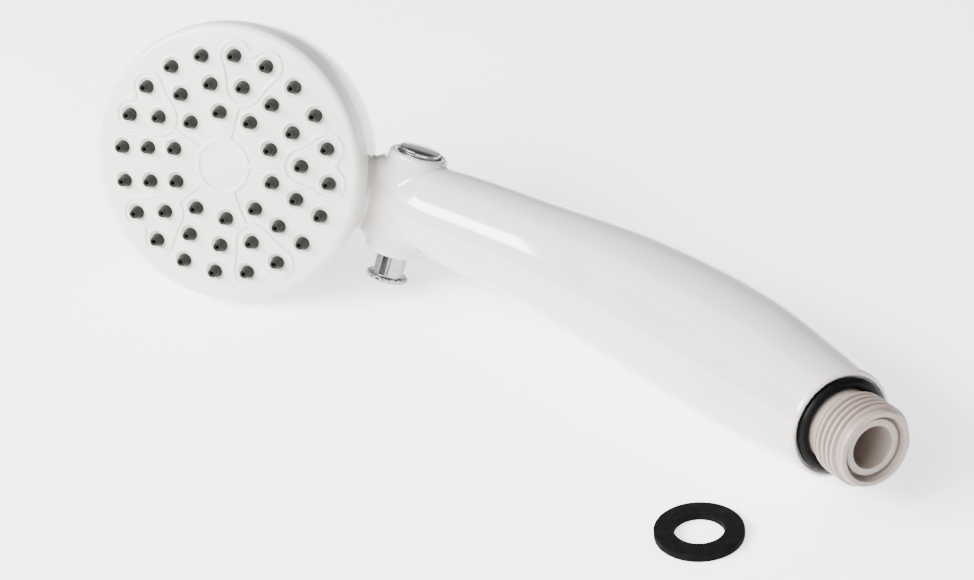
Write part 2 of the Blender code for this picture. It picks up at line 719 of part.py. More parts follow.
clear_scene()
PARTS = new_collection("handheld_shower_head")
CUTTERS = new_collection("cutters")
TABLE = bpy.data.objects.new("table", None)
bpy.context.scene.collection.objects.link(TABLE)
FRAME = bpy.data.objects.new("resting_frame", None)
bpy.context.scene.collection.objects.link(FRAME)
FRAME.parent = TABLE
FRAME.rotation_euler = [math.radians(angle) for angle in (REST_ROLL, REST_PITCH, REST_YAW)]

body_shell()
spray_face()
nozzle_mat()
jet_plate()
flow_baffle()
face_seal()
valve_spool()
valve_button()
valve_end_knob()
spool_seals()
inlet_connector()
inlet_ring()
connector_seals()
flow_regulator()
regulator_seal()
hose_washer()
lay_down()
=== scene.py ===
"""Handheld shower head: fine visual pieces, materials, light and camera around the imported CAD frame.

The head and handle are shaped in the head's own frame, in millimetres: the origin is just behind the crown of
the spray face, +Z is the spray direction, +X points to the handle and +Y to the valve's button.  HEAD places
that frame in the shared frame, in metres.  VALVE and INLET place the frames of the valve and the inlet, whose
+Z points out of the button and out of the nipple.
"""
import math

import bpy
import numpy as np
from mathutils import Euler, Matrix, Vector


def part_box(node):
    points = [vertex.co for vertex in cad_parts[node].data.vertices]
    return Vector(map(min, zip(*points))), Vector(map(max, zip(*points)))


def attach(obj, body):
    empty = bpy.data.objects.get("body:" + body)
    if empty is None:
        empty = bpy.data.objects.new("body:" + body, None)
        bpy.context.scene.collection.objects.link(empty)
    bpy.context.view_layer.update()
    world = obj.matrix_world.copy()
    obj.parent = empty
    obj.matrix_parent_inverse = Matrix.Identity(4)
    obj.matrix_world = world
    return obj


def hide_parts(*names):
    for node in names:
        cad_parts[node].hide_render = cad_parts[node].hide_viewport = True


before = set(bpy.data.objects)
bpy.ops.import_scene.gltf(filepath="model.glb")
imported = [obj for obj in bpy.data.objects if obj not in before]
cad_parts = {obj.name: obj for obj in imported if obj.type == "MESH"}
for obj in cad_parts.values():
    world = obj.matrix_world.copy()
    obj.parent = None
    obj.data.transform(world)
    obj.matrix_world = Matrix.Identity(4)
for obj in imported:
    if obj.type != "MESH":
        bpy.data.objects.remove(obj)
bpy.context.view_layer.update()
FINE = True

# ---------------------------------------------------------------- camera

CAMERA_PLACE = (0.00759, -0.46046, 0.27469)
CAMERA_TURN = (61.338, 5.011, -2.740)
CAMERA_LENS = 73.13

# ---------------------------------------------------------------- dimensions, in millimetres and degrees

MM = 0.001
GAP = 0.3                       # clearance between neighbouring pieces

# How the object lies
REST_TURN = (73.93, 13.37, -20.64)
REST_PLACE = (-0.063367, 0.054185, 0.043323)        # in metres

# Spray face: a dome with a rounded rim, a tapered side and a spigot with a seal groove
CROWN_Z = 0.8
DOME_RADIUS = 330.0
FACE_RADIUS = 38.0
FACE_EDGE = 2.2
FACE_EDGE_TURN = (80, 5)        # the rim's first and last angle
SEAM_Z = -9.0
SEAM_RADIUS = 40.35
SPIGOT_RADIUS = 37.3
SPIGOT_BORE = 35.0
SPIGOT_END = -13.7
FACE_GROOVE_RADIUS = 36.1
FACE_GROOVE_TOP = -10.4
FACE_GROOVE_BOTTOM = -12.2
FACE_INSIDE = [(SPIGOT_BORE, -3.46), (20.0, -2.2), (0.0, -1.6)]
FACE_CORNER = 0.35
FACE_SEGMENTS = 800 if FINE else 360
FACE_RINGS = 150 if FINE else 75

# Nozzles: three rings of count, radius and first angle
NOZZLE_RINGS = ((20, 31.5, 9.0), (15, 23.35, 0.0), (10, 15.3, 18.0))
PATTERN_TURN = math.radians(14.6)
NOZZLE_OUTLINE = [(0, 1.9), (0.55, 1.9), (0.55, 2.72), (1.18, 2.80), (1.95, -0.1), (2.0, -1.2)]
NOZZLE_CORNER = 0.16
NOZZLE_BORE_FLOOR = [(0.0, 1.2), (0.5, 1.2)]
NOZZLE_SHEET = [(0, -1.9), (20.0, -2.5), (34.7, -3.75), (34.7, -5.3), (20.0, -4.1), (0, -3.5)]

# Raised lines on the face
LINE_HEIGHT = 0.34
LINE_TOP_HALF = 0.42            # half the width of a line's flat top
LINE_SIDE = 0.26
LINE_BLEND = 0.9                # rounding where lines meet
SIDE_GROOVE = (0.13, 0.85, 0.2)             # depth, distance from the line's middle and width
CENTRE_RING = 7.6
SPOKE_END = 18.7
FAR_AWAY = 9.0
LOBE_COUNT = 5
LOBE_RADIUS = 4.35
LOBE_BLEND = 3.2
LOBE_FOOT = 23.35
LOBE_TIP = 31.5
LOBE_HALF_ANGLE = math.radians(9.0)

# Dish round each nozzle
DISH_REACH = 3.6
DISH_LIP = (0.22, 2.9, 0.24)                # height, radius and width
DISH_DEPTH = 0.5
DISH_FLOOR = 2.0
DISH_SIDE = 0.8

# Back of the head
HEAD_RADIUS = 40.6
HEAD_WIDEST_Z = -11.5
HEAD_BACK_Z = -31.5
SIDE_DRAFT = math.radians(11.5)
COLLAR_EASE = 0.05
COLLAR_FLARE = 0.11
COLLAR_COS = 0.994
COLLAR_EDGE = 3.0
SEAM_EDGE = 0.6
BACK_EDGE = 6.5
BACK_RISE = 1.3                 # how much lower the rim of the back lies than its middle
BACK_REACH = 33.8
WALL = 2.4
SHOULDER_Z = -15.8
SHOULDER_EDGE = 0.3
CAVITY_EDGE = 5.0
CAVITY_MOUTH_EDGE = 0.6

# Handle: its centre line's slope, and stations of place along it and radius
HANDLE_LENGTH = 163.4
NECK_START = -22.5
LINE_STEP = 0.25
HANDLE_SLOPE = (11.3, 51.5, 14.5)
HANDLE_STATIONS = ((-0.14, 6.6), (-0.05, 7.2), (-0.015, 9.0), (0.02, 11.4), (0.065, 13.1), (0.27, 14.5),
                   (0.50, 17.2), (0.74, 17.6), (0.93, 14.9), (1.0, 13.7))
HANDLE_FILLET = 3.0
HANDLE_END_EDGE = 1.0
HANDLE_WALL = 2.8
TABLE_LOW = (20.0, -45.0)
TABLE_HIGH = (215.0, 105.0)
TABLE_STEP = 0.5

# Duct through the handle: it starts narrow at the valve and widens
DUCT_START = 15.5
DUCT_END = 146.0
DUCT_NARROW = 0.45
DUCT_NARROWEST = 0.2
DUCT_FLARE = 18.0
DUCT_END_EDGE = 2.0
DUCT_EDGE = 0.4

# Neck web between head and handle
NECK_WEB_X = 45.5
NECK_WEB_Y = -0.4
NECK_WEB_Z = -17.3
NECK_WEB_RADIUS = 7.2
NECK_WEB_HALF = 12.2
NECK_WEB_EDGE = 3.0
NECK_WEB_FILLET = 2.0

# Valve bosses and their bores
VALVE_X = 50.4
VALVE_Z = -16.75
VALVE_TILT = math.radians(2.9)
BOSS_RADIUS = 8.65
BOSS_TOP = 14.9
BOSS_BOTTOM = -15.2
BOSS_EDGE = 1.1
BOSS_FILLET = 0.9
WELL_RADIUS = 6.45
WELL_FLOOR = 13.05
WELL_FLOOR_EDGE = 0.2
WELL_EDGE = 0.6
VALVE_BORE = 4.9
VALVE_BORE_EDGE = 0.5

# Recess for the black ring and socket for the nipple in the handle's end
RECESS_RADIUS = 12.55
RECESS_DEPTH = 1.8
RECESS_FLOOR_EDGE = 0.4
RECESS_EDGE = 0.5
SOCKET_RADIUS = 10.6
SOCKET_DEPTH = 17.0
SOCKET_EDGE = 0.4

# Grid of the body
BODY_LOW = (-43.4, -43.4, -33.0)
BODY_HIGH = (200.0, 43.4, 88.0)
BODY_STEP = 0.6 if FINE else 1.0
GRID_SLAB = 24                  # layers worked out at a time
PROBE = 0.05                    # half the distance over which a field's slope is taken
PROJECTIONS = 3                 # moves of each point onto the surface

# Valve pieces, as outlines of (radius, height) from top to bottom
BUTTON_OUTLINE = [(0, 16.45), (3.0, 16.40), (5.85, 16.12), (6.05, 15.85), (6.05, 13.35), (2.3, 13.35),
                  (2.3, 15.55), (0, 15.55)]
BUTTON_CORNER = 0.18
KNOB_RIM = 5.65
KNOB_OUTLINE = [(0, -16.3), (2.3, -16.3), (2.3, -12.3), (4.45, -12.3), (4.45, -22.2), (4.75, -22.4),
                (KNOB_RIM, -22.4), (KNOB_RIM, -23.7), (KNOB_RIM - 0.5, -23.85), (3.4, -23.85), (3.2, -23.6),
                (0, -23.6)]
KNOB_CORNER = 0.15
BEAD_COUNT = 16
BEAD_SIZE = (0.62, 0.72)                    # half the width and half the height
BEAD_Z = -23.05
SPOOL_TIP = 15.25
SPOOL_END = -16.0
SPOOL_CORE = 2.0
SPOOL_RADIUS = 4.5
SPOOL_SHOULDERS = (13.05, -12.0)
SPOOL_GROOVES = ((4.25, 2.35, 3.2), (2.0, -2.0, 2.6), (-2.35, -4.25, 3.2), (-8.85, -10.75, 3.2))
SPOOL_CORNER = 0.12

# Screw thread of the nipple
THREAD_ROOT = 9.3155
THREAD_HEIGHT = 1.162
THREAD_PITCH = 1.814
THREAD_PHASE = 3.1
THREAD_FLAT = 1.55              # above 1 the crest is flat
THREAD_FLANK = 4.4              # how steeply a flank falls within one turn
THREAD_START = (2.6, 1.2)                   # height and length of the run-out
THREAD_STOP = (12.5, 0.9)

# Nipple: face and counterbore, threaded band, then spigot with two seal grooves and the inner tube
NIPPLE_COLLAR = 0.35            # step from the thread's root to the plain end
NIPPLE_COLLAR_RUN = (12.1, 0.8)
NIPPLE_BAND = (12.9, 2.0, 120)              # top, bottom and count of rings
NIPPLE_FACE = [(8.1, 10.0), (8.1, 13.5), (9.3, 13.5), (THREAD_ROOT + NIPPLE_COLLAR, 12.9)]
NIPPLE_FACE_CORNER = 0.3
NIPPLE_INSIDE = [(THREAD_ROOT, 1.8), (THREAD_ROOT, -2.1), (10.3, -2.1), (10.3, -3.9), (8.9, -3.9), (8.9, -6.1),
                 (10.3, -6.1), (10.3, -9.9), (8.9, -9.9), (8.9, -12.1), (10.3, -12.1), (10.3, -15.0),
                 (6.5, -15.0), (6.5, 1.0), (5.4, 1.0), (5.4, 12.2), (7.1, 12.2), (7.1, 10.0)]
NIPPLE_INSIDE_CORNER = 0.2

# Black ring, flow regulator and washer
RING_SECTION = 1.32
RING_EASE = 0.1
RING_Z = -0.3
CUP_OUTLINE = [(0, 3.3), (0.5, 2.9), (1.7, 0.7), (6.2, 0.7), (6.2, -2.15), (5.0, -2.15), (5.0, -3.85),
               (6.2, -3.85), (6.2, -6.5), (3.9, -6.5), (3.9, -0.9), (0, -0.9)]
CUP_CORNER = 0.15
PIP_OUTLINE = [(0, 1.5), (0.42, 1.5), (0.42, 0.5), (0, 0.5)]
PIP_CORNER = 0.12
PIP_ROWS = 6
PIP_FIRST = 2.0
PIP_STEP = 0.75
PIPS_IN_ROW = 4
WASHER_OUTLINE = [(10.65, 2.0), (10.65, 0.0), (5.9, 0.0), (5.9, 2.0)]
WASHER_CORNER = 0.28

# ---------------------------------------------------------------- placements


def radians(angles):
    return [math.radians(angle) for angle in angles]


def slope(distance):
    """Direction of the handle's centre line, in radians above the face plane."""
    share = distance / HANDLE_LENGTH
    first, gain, loss = HANDLE_SLOPE
    return np.radians(first + gain * share - loss * share * np.abs(share))


def centre_line():
    """Distances from the valve and the centre line's x and z there."""
    ahead = np.arange(0, HANDLE_LENGTH + LINE_STEP / 2, LINE_STEP)
    behind = np.arange(0, NECK_START - LINE_STEP / 2, -LINE_STEP)
    runs = []
    for distances, sign in ((behind, -1), (ahead, 1)):
        angles = slope(distances[:-1] + sign * LINE_STEP / 2)
        x = VALVE_X + sign * LINE_STEP * np.concatenate([[0], np.cumsum(np.cos(angles))])
        z = VALVE_Z + sign * LINE_STEP * np.concatenate([[0], np.cumsum(np.sin(angles))])
        runs.append((distances, x, z))
    return [np.concatenate([back[::-1][:-1], front]) for back, front in zip(*runs)]


def handle_radius(distance):
    """Smooth curve through the handle's stations."""
    share = np.asarray(distance) / HANDLE_LENGTH
    at = np.array([station[0] for station in HANDLE_STATIONS])
    value = np.array([station[1] for station in HANDLE_STATIONS])
    rise = np.concatenate([[value[1] - value[0]], value[2:] - value[:-2], [value[-1] - value[-2]]])
    run = np.concatenate([[at[1] - at[0]], at[2:] - at[:-2], [at[-1] - at[-2]]])
    tangent = rise / run
    k = np.clip(np.searchsorted(at, share, side="right") - 1, 0, len(at) - 2)
    width = at[k + 1] - at[k]
    t = np.clip((share - at[k]) / width, 0, 1)
    return ((1 + 2 * t) * (1 - t) ** 2 * value[k] + t * (1 - t) ** 2 * width * tangent[k]
            + t * t * (3 - 2 * t) * value[k + 1] + t * t * (t - 1) * width * tangent[k + 1])


LINE_S, LINE_X, LINE_Z = centre_line()
END_SLOPE = float(slope(HANDLE_LENGTH))

HEAD = Matrix.Translation(REST_PLACE) @ Euler(radians(REST_TURN)).to_matrix().to_4x4() @ Matrix.Scale(MM, 4)
VALVE = (HEAD @ Matrix.Translation((VALVE_X, 0, VALVE_Z)) @ Matrix.Rotation(-VALVE_TILT, 4, "Z")
         @ Matrix.Rotation(math.radians(-90), 4, "X"))
INLET = (HEAD @ Matrix.Translation((LINE_X[-1], 0, LINE_Z[-1]))
         @ Matrix.Rotation(math.pi / 2 - END_SLOPE, 4, "Y"))

# ---------------------------------------------------------------- materials

# Features per millimetre
CLOUD_SCALE, SPECK_SCALE, PEEL_SCALE, GRAIN_SCALE = 0.05, 2.4, 0.12, 3.0
DUST_SCALE, SKIN_SCALE, LUMP_SCALE = 0.5, 5.0, 1.2
HAZE_SCALE, RIPPLE_SCALE, SCRATCH_SCALE = 0.8, 0.35, 6.0

PEEL_DEPTH = 2.5                # in depths of the grain
RIPPLE_DEPTH = 0.012
SCRATCH_DEPTH = 0.0006
COAT_ROUGHNESS = 0.08
PLASTIC_IOR = 1.49
SUBSURFACE_RADIUS = (1.0, 0.7, 0.5)
SUBSURFACE_SCALE = 0.002


def new_material(name):
    """A material with its node tree, its shader and coordinates that stay with the piece."""
    mat = bpy.data.materials.new(name)
    mat.use_nodes = True
    tree = mat.node_tree
    shader = tree.nodes["Principled BSDF"]
    place = tree.nodes.new("ShaderNodeTexCoord")
    return mat, tree, shader, place.outputs["Object"]


def noise(tree, coordinates, scale, detail):
    """Noise whose scale counts features per millimetre."""
    node = tree.nodes.new("ShaderNodeTexNoise")
    node.inputs["Scale"].default_value = scale / MM
    node.inputs["Detail"].default_value = detail
    tree.links.new(coordinates, node.inputs["Vector"])
    return node.outputs["Fac"]


def ramp(tree, value, low, high, start=0.35, end=0.65):
    """Colour or number that runs from low to high as value goes from start to end."""
    node = tree.nodes.new("ShaderNodeValToRGB")
    for element, position, colour in zip(node.color_ramp.elements, (start, end), (low, high)):
        element.position = position
        element.color = (*colour, 1) if isinstance(colour, tuple) else (colour, colour, colour, 1)
    tree.links.new(value, node.inputs["Fac"])
    return node.outputs["Color"]


def bump(tree, shader, heights):
    """Stack bumps: each height field with its depth in millimetres."""
    normal = None
    for value, depth in heights:
        node = tree.nodes.new("ShaderNodeBump")
        node.inputs["Strength"].default_value = 1.0
        node.inputs["Distance"].default_value = depth * MM
        tree.links.new(value, node.inputs["Height"])
        if normal is not None:
            tree.links.new(normal, node.inputs["Normal"])
        normal = node.outputs["Normal"]
    tree.links.new(normal, shader.inputs["Normal"])


def plastic(name, light, dark, roughness, spread, grain, coat=0.0, subsurface=0.0):
    """Moulded plastic: faint clouds of colour, uneven gloss, orange peel and a fine grain."""
    mat, tree, shader, where = new_material(name)
    clouds = noise(tree, where, CLOUD_SCALE, 2.0)
    specks = noise(tree, where, SPECK_SCALE, 4.0)
    tree.links.new(ramp(tree, clouds, dark, light, 0.3, 0.7), shader.inputs["Base Color"])
    tree.links.new(ramp(tree, specks, roughness - spread, roughness + spread), shader.inputs["Roughness"])
    bump(tree, shader, [(noise(tree, where, PEEL_SCALE, 1.0), grain * PEEL_DEPTH),
                        (noise(tree, where, GRAIN_SCALE, 3.0), grain)])
    shader.inputs["Coat Weight"].default_value = coat
    shader.inputs["Coat Roughness"].default_value = COAT_ROUGHNESS
    shader.inputs["IOR"].default_value = PLASTIC_IOR
    if subsurface:
        shader.inputs["Subsurface Weight"].default_value = subsurface
        shader.inputs["Subsurface Radius"].default_value = SUBSURFACE_RADIUS
        shader.inputs["Subsurface Scale"].default_value = SUBSURFACE_SCALE
    return mat


def rubber(name, light, dark, roughness, spread, grain, shine):
    """Moulded rubber: dusty patches over a pebbled skin."""
    mat, tree, shader, where = new_material(name)
    dust = noise(tree, where, DUST_SCALE, 4.0)
    skin = noise(tree, where, SKIN_SCALE, 3.0)
    tree.links.new(ramp(tree, dust, dark, light), shader.inputs["Base Color"])
    tree.links.new(ramp(tree, skin, roughness - spread, roughness + spread), shader.inputs["Roughness"])
    bump(tree, shader, [(skin, grain), (noise(tree, where, LUMP_SCALE, 2.0), grain)])
    shader.inputs["Specular IOR Level"].default_value = shine
    return mat


def chrome(name, light, dark, least, most):
    """Plated plastic: metal with faint haze, fine scratches and a slight ripple, rough from least to most."""
    mat, tree, shader, where = new_material(name)
    haze = noise(tree, where, HAZE_SCALE, 5.0)
    tree.links.new(ramp(tree, haze, dark, light), shader.inputs["Base Color"])
    tree.links.new(ramp(tree, haze, least, most), shader.inputs["Roughness"])
    bump(tree, shader, [(noise(tree, where, RIPPLE_SCALE, 1.0), RIPPLE_DEPTH),
                        (noise(tree, where, SCRATCH_SCALE, 2.0), SCRATCH_DEPTH)])
    shader.inputs["Metallic"].default_value = 1.0
    return mat


BODY_WHITE = plastic("body_white", light=(0.560, 0.528, 0.502), dark=(0.535, 0.503, 0.477),
                     roughness=0.15, spread=0.03, grain=0.0016, coat=1.0)
FACE_WHITE = plastic("face_white", light=(0.640, 0.635, 0.595), dark=(0.615, 0.610, 0.570),
                     roughness=0.30, spread=0.04, grain=0.002, coat=0.1)
NATURAL = plastic("natural_plastic", light=(0.270, 0.222, 0.196), dark=(0.228, 0.185, 0.162),
                  roughness=0.34, spread=0.06, grain=0.006, subsurface=0.35)
REGULATOR = plastic("regulator_plastic", light=(0.22, 0.172, 0.15), dark=(0.18, 0.14, 0.12),
                    roughness=0.42, spread=0.06, grain=0.006)
INNER = plastic("inner_plastic", light=(0.72, 0.71, 0.69), dark=(0.67, 0.66, 0.64),
                roughness=0.45, spread=0.06, grain=0.008)
ACETAL = plastic("spool_plastic", light=(0.66, 0.66, 0.64), dark=(0.61, 0.61, 0.59),
                 roughness=0.32, spread=0.05, grain=0.004)
NOZZLE = rubber("nozzle_rubber", light=(0.010, 0.009, 0.008), dark=(0.005, 0.005, 0.004),
                roughness=0.42, spread=0.08, grain=0.012, shine=0.15)
SEAL = rubber("seal_rubber", light=(0.004, 0.004, 0.004), dark=(0.002, 0.002, 0.002),
              roughness=0.40, spread=0.06, grain=0.004, shine=0.07)
WASHER = rubber("washer_rubber", light=(0.004, 0.004, 0.004), dark=(0.002, 0.002, 0.002),
                roughness=0.78, spread=0.10, grain=0.02, shine=0.04)
CHROME = chrome("chrome", light=(0.33, 0.33, 0.34), dark=(0.26, 0.26, 0.27), least=0.05, most=0.13)

# ---------------------------------------------------------------- meshes


def add_piece(name, shape, material, placement=HEAD, body="shower_head", stands_for=()):
    """A smooth piece from points in millimetres and faces, which rides a body and replaces CAD nodes."""
    points, faces = shape
    mesh = bpy.data.meshes.new(name)
    mesh.from_pydata(np.asarray(points, dtype=float).tolist(), [], faces)
    mesh.transform(placement)
    mesh.validate()
    mesh.materials.append(material)
    mesh.shade_smooth()
    mesh.update()
    obj = bpy.data.objects.new(name, mesh)
    bpy.context.scene.collection.objects.link(obj)
    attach(obj, body)
    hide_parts(*stands_for)


def rounded(profile, radius, closed=False, steps=4):
    """The profile with its corners turned into small arcs."""
    nearly_straight = math.radians(165)
    points = [Vector(point) for point in profile]
    count = len(points)
    result = []
    for i, point in enumerate(points):
        if not closed and i in (0, count - 1):
            result.append(tuple(point))
            continue
        before = points[i - 1] - point
        after = points[(i + 1) % count] - point
        opening = before.angle(after)
        if opening > nearly_straight:
            result.append(tuple(point))
            continue
        reach = min(radius / math.tan(opening / 2), 0.45 * before.length, 0.45 * after.length)
        start = point + before.normalized() * reach
        end = point + after.normalized() * reach
        for j in range(steps + 1):
            t = j / steps
            result.append(tuple(start * (1 - t) ** 2 + point * 2 * t * (1 - t) + end * t ** 2))
    return result


def lathe(profile, segments, closed=False):
    """Points and faces of a profile of (radius, height) turned about Z, outer side listed from top to bottom."""
    radius = np.array([point[0] for point in profile])
    height = np.array([point[1] for point in profile])
    angle = math.tau * np.arange(segments) / segments
    points = np.stack([np.outer(radius, np.cos(angle)), np.outer(radius, np.sin(angle)),
                       np.repeat(height[:, None], segments, axis=1)], axis=2)
    points = points.reshape(-1, 3)
    rings = len(profile)
    faces = []
    for i in range(rings if closed else rings - 1):
        j = (i + 1) % rings
        for k in range(segments):
            m = (k + 1) % segments
            a, b, c, d = i * segments + k, j * segments + k, j * segments + m, i * segments + m
            if radius[i] == 0:
                faces.append((i * segments, b, c))
            elif radius[j] == 0:
                faces.append((a, j * segments, d))
            else:
                faces.append((a, b, c, d))
    return points, faces


def copies(shape, places):
    """The shape once at each place."""
    points, faces = shape
    return [(points + np.array(place), faces) for place in places]


def join_meshes(shapes):
    """Several (points, faces) pairs as one."""
    all_points = []
    all_faces = []
    start = 0
    for points, faces in shapes:
        all_points.append(points)
        all_faces += [tuple(index + start for index in face) for face in faces]
        start += len(points)
    return np.concatenate(all_points), all_faces


def full_turn(count):
    """Evenly spaced angles round a circle."""
    return [math.tau * i / count for i in range(count)]


# ---------------------------------------------------------------- smooth solids from distance fields

def rounded_both(a, b, radius):
    """Intersection of two fields whose edge is rounded."""
    u = np.maximum(a + radius, 0)
    v = np.maximum(b + radius, 0)
    return np.minimum(np.maximum(a, b), -radius) + np.sqrt(u * u + v * v)


def filleted(a, b, radius):
    """Union of two fields with a fillet between them."""
    return -rounded_both(-a, -b, radius)


def cut_away(a, b, radius):
    """Field a less field b with a rounded edge."""
    return rounded_both(a, -b, radius)


def soft_least(a, b, k):
    """The lesser of two fields, blended where they are within k of each other."""
    h = np.clip(0.5 + 0.5 * (b - a) / k, 0, 1)
    return b + (a - b) * h - k * h * (1 - h)


class HandleField:
    """Distance to the centre line and place along it, tabled over the XZ plane."""

    def __init__(self):
        self.low = np.array(TABLE_LOW)
        size = (np.array(TABLE_HIGH) - self.low) / TABLE_STEP
        nx, nz = int(size[0]) + 1, int(size[1]) + 1
        x = (self.low[0] + TABLE_STEP * np.arange(nx))[:, None]
        z = (self.low[1] + TABLE_STEP * np.arange(nz))[None, :]
        best = np.full((nx, nz), np.inf)
        place = np.zeros((nx, nz))
        for s, cx, cz in zip(LINE_S[::2], LINE_X[::2], LINE_Z[::2]):
            square = (x - cx) ** 2 + (z - cz) ** 2
            nearer = square < best
            best[nearer] = square[nearer]
            place[nearer] = s
        along = np.interp(place, LINE_S, LINE_X), np.interp(place, LINE_S, LINE_Z)
        lean = slope(place)
        shift = (x - along[0]) * np.cos(lean) + (z - along[1]) * np.sin(lean)
        inner = (place > LINE_S[0]) & (place < LINE_S[-1])
        self.place = np.where(inner, place + shift, place)
        self.square = np.where(inner, best - shift ** 2, best)

    def look_up(self, x, z):
        """Square of the in-plane distance to the centre line, and the place along it."""
        last = 1.001                        # keeps a point just inside the table's last cell
        u = np.clip((x - self.low[0]) / TABLE_STEP, 0, self.square.shape[0] - last)
        v = np.clip((z - self.low[1]) / TABLE_STEP, 0, self.square.shape[1] - last)
        i, j = u.astype(int), v.astype(int)
        u, v = u - i, v - j
        values = []
        for table in (self.square, self.place):
            values.append((1 - u) * (1 - v) * table[i, j] + u * (1 - v) * table[i + 1, j]
                          + (1 - u) * v * table[i, j + 1] + u * v * table[i + 1, j + 1])
        return values


HANDLE = HandleField()
DRAFT_TAN = math.tan(SIDE_DRAFT)
DRAFT_COS = math.cos(SIDE_DRAFT)


def back_height(rho):
    """Height of the head's back, a shallow crown."""
    return HEAD_BACK_Z + BACK_RISE * (rho / BACK_REACH) ** 2


def head_field(rho, z):
    """The head's back, solid: collar, drafted wall and low crown."""
    collar = ((rho - SEAM_RADIUS - COLLAR_EASE) + COLLAR_FLARE * (z - SEAM_Z + GAP)) * COLLAR_COS
    wall = ((rho - HEAD_RADIUS) - (z - HEAD_WIDEST_Z) * DRAFT_TAN) * DRAFT_COS
    solid = rounded_both(rounded_both(collar, wall, COLLAR_EDGE), back_height(rho) - z, BACK_EDGE)
    return rounded_both(solid, z - SEAM_Z + GAP, SEAM_EDGE)


def cavity_field(rho, z):
    """The head's hollow: a wide mouth for the face's spigot and a narrower room behind it."""
    wide = rounded_both(rho - SPIGOT_RADIUS - GAP, SHOULDER_Z - z, SHOULDER_EDGE)
    narrow = rho - (HEAD_RADIUS - WALL) - (z - HEAD_WIDEST_Z) * DRAFT_TAN
    deep = rounded_both(narrow, back_height(rho) + WALL - z, CAVITY_EDGE)
    return np.minimum(wide, deep)


def web_field(x, y, z):
    """The upright web that joins head and handle."""
    across = np.sqrt((x - NECK_WEB_X) ** 2 + (z - NECK_WEB_Z) ** 2) - NECK_WEB_RADIUS
    return rounded_both(across, np.abs(y - NECK_WEB_Y) - NECK_WEB_HALF, NECK_WEB_EDGE)


def body_field(x, y, z):
    """The whole body: head, neck, handle and bosses, with its hollows and bores."""
    rho = np.sqrt(x * x + y * y)
    square, place = HANDLE.look_up(x, z)
    reach = np.sqrt(np.maximum(square, 0) + y * y)
    radius = handle_radius(place)
    end = (x - LINE_X[-1]) * math.cos(END_SLOPE) + (z - LINE_Z[-1]) * math.sin(END_SLOPE)
    aside = x - VALVE_X
    level = aside * math.sin(VALVE_TILT) + y * math.cos(VALVE_TILT)
    across = np.sqrt((aside * math.cos(VALVE_TILT) - y * math.sin(VALVE_TILT)) ** 2 + (z - VALVE_Z) ** 2)

    solid = filleted(head_field(rho, z), reach - radius, HANDLE_FILLET)
    solid = filleted(solid, web_field(x, y, z), NECK_WEB_FILLET)
    boss_end = np.where(level > 0, level - BOSS_TOP, BOSS_BOTTOM - level)
    solid = filleted(solid, rounded_both(across - BOSS_RADIUS, boss_end, BOSS_EDGE), BOSS_FILLET)
    solid = rounded_both(solid, end, HANDLE_END_EDGE)

    well = rounded_both(across - WELL_RADIUS, WELL_FLOOR - level, WELL_FLOOR_EDGE)
    solid = cut_away(solid, well, WELL_EDGE)
    solid = cut_away(solid, across - VALVE_BORE, VALVE_BORE_EDGE)
    solid = cut_away(solid, cavity_field(rho, z), CAVITY_MOUTH_EDGE)
    share = np.clip(DUCT_NARROW + (place - DUCT_START) / DUCT_FLARE, DUCT_NARROWEST, 1.0)
    duct = rounded_both(reach - (radius - HANDLE_WALL) * share, DUCT_START - place, DUCT_END_EDGE)
    solid = cut_away(solid, rounded_both(duct, place - DUCT_END, DUCT_END_EDGE), DUCT_EDGE)
    recess = rounded_both(reach - RECESS_RADIUS, -RECESS_DEPTH - end, RECESS_FLOOR_EDGE)
    solid = cut_away(solid, recess, RECESS_EDGE)
    return cut_away(solid, np.maximum(reach - SOCKET_RADIUS, -SOCKET_DEPTH - end), SOCKET_EDGE)


def sampled(field, axes):
    """The field's values on a grid, worked out in slabs to spare memory."""
    counts = [len(axis) for axis in axes]
    values = np.empty(counts, dtype=np.float32)
    y = axes[1][None, :, None]
    z = axes[2][None, None, :]
    for start in range(0, counts[0], GRID_SLAB):
        x = axes[0][start:start + GRID_SLAB][:, None, None]
        shape = (x.shape[0], counts[1], counts[2])
        values[start:start + GRID_SLAB] = field(*(np.broadcast_to(part, shape) for part in (x, y, z)))
    return values


